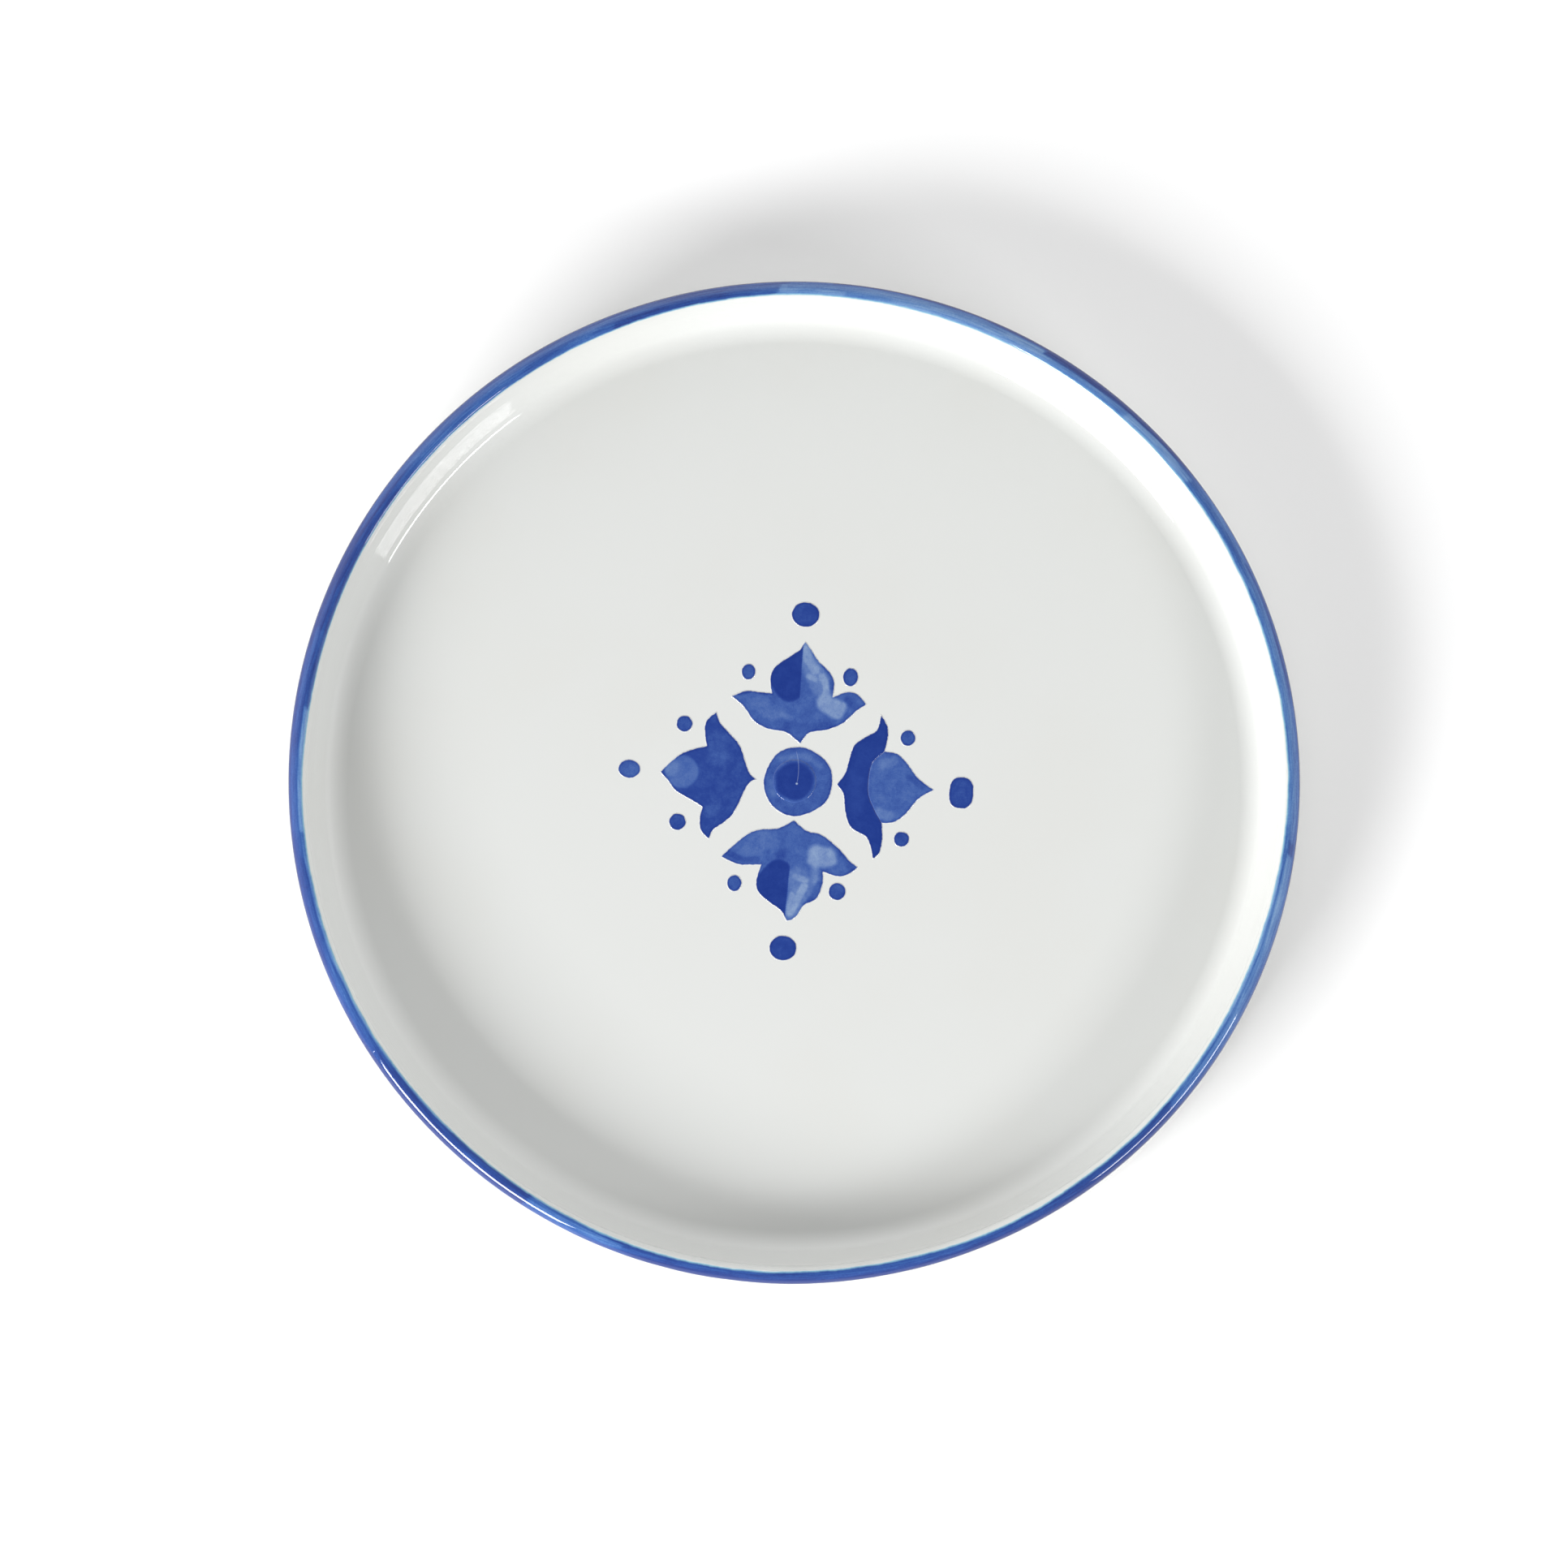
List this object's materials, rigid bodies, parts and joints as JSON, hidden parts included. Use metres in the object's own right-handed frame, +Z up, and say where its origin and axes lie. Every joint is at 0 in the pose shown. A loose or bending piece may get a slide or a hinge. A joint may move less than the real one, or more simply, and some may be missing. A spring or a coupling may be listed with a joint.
{
  "type": "ceramic dinner plate",
  "caption": "Round straight-sided dinner plate on a foot ring, glazed white, with a cobalt band over the lip and a painted cross of four palmettes and dots on the floor.",
  "frame": {"origin": "centre of the plane that the foot ring stands on", "axes": "+Z up out of the well, +Y towards the north palmette, +X towards the east palmette; the painted motif is turned 4.1 degrees clockwise from these axes"},
  "size_m": [0.2704, 0.2704, 0.0232],
  "materials": {
    "clay": "fired buff stoneware, matte and slightly gritty, bare only on the foot ring",
    "glaze": "glossy opaque warm white glaze",
    "cobalt_dark": "glossy dark cobalt blue brushwork under the glaze's shine",
    "cobalt_mid": "glossy cobalt blue brushwork, washed paler in places",
    "cobalt_band": "glossy cobalt blue band with visible brush starts, bleeding to turquoise at its inner edge"
  },
  "bodies": {
    "root": {"plate_body": "clay", "glaze_coat": "glaze", "glaze_base": "glaze", "rim_band": "cobalt_band", "medallion": "cobalt_mid", "medallion_core": "cobalt_dark", "palmette_north": "cobalt_mid", "palmette_south": "cobalt_mid", "palmette_west": "cobalt_mid", "palmette_east_crescent": "cobalt_dark", "palmette_east_bud": "cobalt_mid", "large_dot_north": "cobalt_dark", "large_dot_east": "cobalt_dark", "large_dot_south": "cobalt_dark", "large_dot_west": "cobalt_dark", "small_dot_1": "cobalt_mid", "small_dot_2": "cobalt_mid", "small_dot_3": "cobalt_mid", "small_dot_4": "cobalt_mid", "small_dot_5": "cobalt_mid", "small_dot_6": "cobalt_mid", "small_dot_7": "cobalt_mid", "small_dot_8": "cobalt_mid"}
  },
  "joints": []
}
